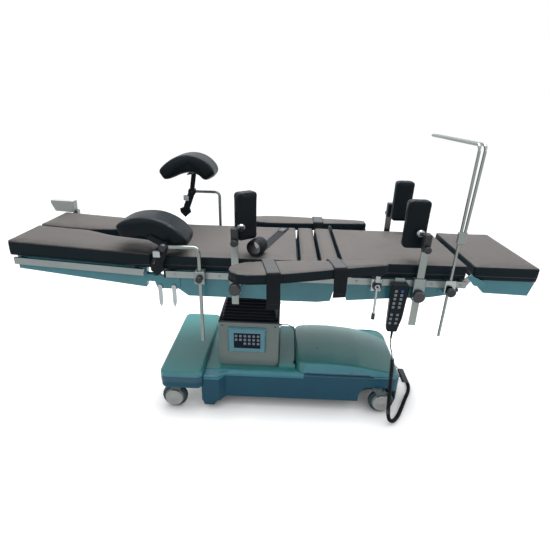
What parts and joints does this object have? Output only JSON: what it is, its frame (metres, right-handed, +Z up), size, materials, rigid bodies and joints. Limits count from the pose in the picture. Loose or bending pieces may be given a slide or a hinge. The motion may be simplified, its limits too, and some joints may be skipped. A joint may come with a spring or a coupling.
{
  "type": "electric operating table",
  "caption": "Electric operating table with folding cushioned sections, lifting column, base on castors, armboards, leg holders, supports and handset.",
  "frame": {"origin": "on the floor under the lifting column's axis", "axes": "+X towards the head end, +Y towards the side away from the control panel, +Z up"},
  "size_m": [2.354, 0.9059, 1.3113],
  "materials": {
    "armboard_clamp": "satin",
    "armboard_pad_far": "satin",
    "armboard_pad_near": "satin",
    "armboard_plate_far": "satin",
    "armboard_plate_near": "satin",
    "armboard_strap_far": "matte",
    "armboard_strap_near_1": "matte",
    "armboard_strap_near_2": "matte",
    "back_frame": "gloss",
    "back_pad": "satin",
    "base_cover": "satin",
    "base_skirt": "satin",
    "bellows": "matte",
    "brake_pedal": "satin",
    "castor_foot_far_fork": "satin",
    "castor_foot_far_wheel": "matte",
    "castor_foot_near_fork": "satin",
    "castor_foot_near_wheel": "matte",
    "castor_rear_far_fork": "satin",
    "castor_rear_far_wheel": "matte",
    "castor_rear_near_fork": "satin",
    "castor_rear_near_wheel": "matte",
    "clamp_lever": "satin",
    "column_housing": "satin",
    "column_inner": "satin",
    "handset": "matte",
    "handset_cord": "matte",
    "head_frame": "gloss",
    "head_pad": "satin",
    "keypad": "satin",
    "kidney_pad": "satin",
    "knee_bracket_far": "satin",
    "knee_bracket_near": "satin",
    "knee_clamp_far": "satin",
    "knee_clamp_near": "satin",
    "knee_pad_far": "satin",
    "knee_pad_near": "satin",
    "knee_rod_far": "satin",
    "knee_rod_near": "satin",
    "leg_frame_far": "gloss",
    "leg_frame_near": "gloss",
    "leg_pad_far": "satin",
    "leg_pad_near": "satin",
    "lumbar_pad": "satin",
    "panel_bezel": "satin",
    "rear_dome": "satin",
    "release_lever_far": "satin",
    "release_lever_near": "satin",
    "screen_clamp": "satin",
    "screen_frame": "satin",
    "seat_frame": "gloss",
    "seat_pad": "satin",
    "support_pad_far": "satin",
    "support_pad_left": "satin",
    "support_pad_right": "satin",
    "support_post_far": "satin",
    "support_post_left": "satin",
    "support_post_right": "satin",
    "tilt_yoke": "satin",
    "wrist_cuff": "satin"
  },
  "bodies": {
    "base": {"base_cover": "base_cover", "base_skirt": "base_skirt", "rear_dome": "rear_dome", "column_housing": "column_housing", "panel_bezel": "panel_bezel", "keypad": "keypad", "bellows": "bellows", "handset_cord": "handset_cord"},
    "pedal": {"brake_pedal": "brake_pedal"},
    "column": {"column_inner": "column_inner"},
    "yoke": {"tilt_yoke": "tilt_yoke"},
    "seat": {"seat_frame": "seat_frame", "seat_pad": "seat_pad", "lumbar_pad": "lumbar_pad", "knee_clamp_near": "knee_clamp_near", "knee_clamp_far": "knee_clamp_far", "wrist_cuff": "wrist_cuff"},
    "kidney": {"kidney_pad": "kidney_pad"},
    "back": {"back_frame": "back_frame", "back_pad": "back_pad", "armboard_clamp": "armboard_clamp", "screen_clamp": "screen_clamp", "handset": "handset"},
    "head": {"head_frame": "head_frame", "head_pad": "head_pad"},
    "screen": {"screen_frame": "screen_frame"},
    "clamp_handle": {"clamp_lever": "clamp_lever"},
    "castor_foot_near_swivel_body": {"castor_foot_near_fork": "castor_foot_near_fork"},
    "castor_foot_near_wheel_body": {"castor_foot_near_wheel": "castor_foot_near_wheel"},
    "castor_foot_far_swivel_body": {"castor_foot_far_fork": "castor_foot_far_fork"},
    "castor_foot_far_wheel_body": {"castor_foot_far_wheel": "castor_foot_far_wheel"},
    "castor_rear_near_swivel_body": {"castor_rear_near_fork": "castor_rear_near_fork"},
    "castor_rear_near_wheel_body": {"castor_rear_near_wheel": "castor_rear_near_wheel"},
    "castor_rear_far_swivel_body": {"castor_rear_far_fork": "castor_rear_far_fork"},
    "castor_rear_far_wheel_body": {"castor_rear_far_wheel": "castor_rear_far_wheel"},
    "leg_near": {"leg_frame_near": "leg_frame_near", "leg_pad_near": "leg_pad_near"},
    "release_near": {"release_lever_near": "release_lever_near"},
    "knee_rod_body_near": {"knee_rod_near": "knee_rod_near"},
    "knee_rest_near": {"knee_bracket_near": "knee_bracket_near", "knee_pad_near": "knee_pad_near"},
    "leg_far": {"leg_frame_far": "leg_frame_far", "leg_pad_far": "leg_pad_far"},
    "release_far": {"release_lever_far": "release_lever_far"},
    "knee_rod_body_far": {"knee_rod_far": "knee_rod_far"},
    "knee_rest_far": {"knee_bracket_far": "knee_bracket_far", "knee_pad_far": "knee_pad_far"},
    "armboard_near": {"armboard_pad_near": "armboard_pad_near", "armboard_plate_near": "armboard_plate_near", "armboard_strap_near_1": "armboard_strap_near_1", "armboard_strap_near_2": "armboard_strap_near_2"},
    "armboard_far": {"armboard_pad_far": "armboard_pad_far", "armboard_plate_far": "armboard_plate_far", "armboard_strap_far": "armboard_strap_far"},
    "support_left": {"support_post_left": "support_post_left", "support_pad_left": "support_pad_left"},
    "support_right": {"support_post_right": "support_post_right", "support_pad_right": "support_pad_right"},
    "support_far": {"support_post_far": "support_post_far", "support_pad_far": "support_pad_far"}
  },
  "joints": [
    {"name": "castor_foot_near_swivel", "type": "hinge", "parent": "base", "child": "castor_foot_near_swivel_body", "pos_m": [-0.34, -0.235, 0.1], "axis": [0, 0, 1], "continuous": true},
    {"name": "castor_foot_near_roll", "type": "hinge", "parent": "castor_foot_near_swivel_body", "child": "castor_foot_near_wheel_body", "pos_m": [-0.366, -0.235, 0.0625], "axis": [0, 1, 0], "continuous": true},
    {"name": "castor_foot_far_swivel", "type": "hinge", "parent": "base", "child": "castor_foot_far_swivel_body", "pos_m": [-0.34, 0.235, 0.1], "axis": [0, 0, 1], "continuous": true},
    {"name": "castor_foot_far_roll", "type": "hinge", "parent": "castor_foot_far_swivel_body", "child": "castor_foot_far_wheel_body", "pos_m": [-0.366, 0.235, 0.0625], "axis": [0, 1, 0], "continuous": true},
    {"name": "castor_rear_near_swivel", "type": "hinge", "parent": "base", "child": "castor_rear_near_swivel_body", "pos_m": [0.645, -0.215, 0.1], "axis": [0, 0, 1], "continuous": true},
    {"name": "castor_rear_near_roll", "type": "hinge", "parent": "castor_rear_near_swivel_body", "child": "castor_rear_near_wheel_body", "pos_m": [0.671, -0.215, 0.0625], "axis": [0, 1, 0], "continuous": true},
    {"name": "castor_rear_far_swivel", "type": "hinge", "parent": "base", "child": "castor_rear_far_swivel_body", "pos_m": [0.645, 0.215, 0.1], "axis": [0, 0, 1], "continuous": true},
    {"name": "castor_rear_far_roll", "type": "hinge", "parent": "castor_rear_far_swivel_body", "child": "castor_rear_far_wheel_body", "pos_m": [0.671, 0.215, 0.0625], "axis": [0, 1, 0], "continuous": true},
    {"name": "column_lift", "type": "slide", "parent": "base", "child": "column", "axis": [0, 0, 1], "range_m": [-0.05, 0.2], "deforming": ["bellows", "handset_cord"]},
    {"name": "lengthwise_tilt", "type": "hinge", "parent": "column", "child": "yoke", "pos_m": [0, 0, 0.665], "axis": [0, -1, 0], "range_deg": [-15, 15], "deforming": ["handset_cord"]},
    {"name": "side_tilt", "type": "hinge", "parent": "yoke", "child": "seat", "pos_m": [0, 0, 0.665], "axis": [1, 0, 0], "range_deg": [-12, 12], "deforming": ["handset_cord"]},
    {"name": "back_fold", "type": "hinge", "parent": "seat", "child": "back", "pos_m": [0.3995, 0, 0.82], "axis": [0, -1, 0], "range_deg": [-6, 75], "deforming": ["handset_cord"]},
    {"name": "head_fold", "type": "hinge", "parent": "back", "child": "head", "pos_m": [0.9515, 0, 0.775], "axis": [0, -1, 0], "range_deg": [-40, 20]},
    {"name": "leg_fold_near", "type": "hinge", "parent": "seat", "child": "leg_near", "pos_m": [-0.395, 0, 0.7], "axis": [0, 1, 0], "range_deg": [-70, 10]},
    {"name": "leg_fold_far", "type": "hinge", "parent": "seat", "child": "leg_far", "pos_m": [-0.395, 0, 0.7], "axis": [0, 1, 0], "range_deg": [-70, 10]},
    {"name": "kidney_raise", "type": "slide", "parent": "seat", "child": "kidney", "axis": [0, 0, 1], "range_m": [0, 0.1]},
    {"name": "release_near_pull", "type": "hinge", "parent": "seat", "child": "release_near", "pos_m": [-0.389, -0.2446, 0.667], "axis": [0, -1, 0], "range_deg": [0, 20], "stiffness_Nm_per_rad": 0.6},
    {"name": "release_far_pull", "type": "hinge", "parent": "seat", "child": "release_far", "pos_m": [-0.327, -0.2446, 0.667], "axis": [0, -1, 0], "range_deg": [0, 20], "stiffness_Nm_per_rad": 0.6},
    {"name": "pedal_press", "type": "hinge", "parent": "base", "child": "pedal", "pos_m": [0.745, -0.08, 0.118], "axis": [0, 1, 0], "range_deg": [-10, 10]},
    {"name": "knee_rod_near_slide", "type": "slide", "parent": "seat", "child": "knee_rod_body_near", "axis": [0, 0, 1], "range_m": [0, 0.15]},
    {"name": "knee_rest_near_tilt", "type": "hinge", "parent": "knee_rod_body_near", "child": "knee_rest_near", "pos_m": [-0.345, -0.283, 0.868], "axis": [0, 1, 0], "range_deg": [-10, 0]},
    {"name": "knee_rod_far_slide", "type": "slide", "parent": "seat", "child": "knee_rod_body_far", "axis": [0, 0, 1], "range_m": [-0.12, 0.1]},
    {"name": "knee_rest_far_tilt", "type": "hinge", "parent": "knee_rod_body_far", "child": "knee_rest_far", "pos_m": [-0.345, 0.283, 0.985], "axis": [0, 1, 0], "range_deg": [-20, 25]},
    {"name": "armboard_near_swing", "type": "hinge", "parent": "back", "child": "armboard_near", "pos_m": [0.549, -0.305, 0.8], "axis": [0, 0, 1], "range_deg": [0, 95]},
    {"name": "armboard_far_swing", "type": "hinge", "parent": "back", "child": "armboard_far", "pos_m": [0.578, 0.346, 0.8], "axis": [0, 0, -1], "range_deg": [0, 95]},
    {"name": "support_left_slide", "type": "slide", "parent": "seat", "child": "support_left", "axis": [0, 0, 1], "range_m": [0, 0.08]},
    {"name": "support_right_slide", "type": "slide", "parent": "back", "child": "support_right", "axis": [0, 0, 1], "range_m": [-0.03, 0.1]},
    {"name": "support_far_slide", "type": "slide", "parent": "back", "child": "support_far", "axis": [0, 0, 1], "range_m": [-0.03, 0.07]},
    {"name": "screen_slide", "type": "slide", "parent": "back", "child": "screen", "axis": [0, 0, 1], "range_m": [-0.05, 0.18]},
    {"name": "clamp_lever_turn", "type": "hinge", "parent": "back", "child": "clamp_handle", "pos_m": [0.549, -0.3, 0.7347], "axis": [0, -1, 0], "range_deg": [-60, 60]}
  ]
}
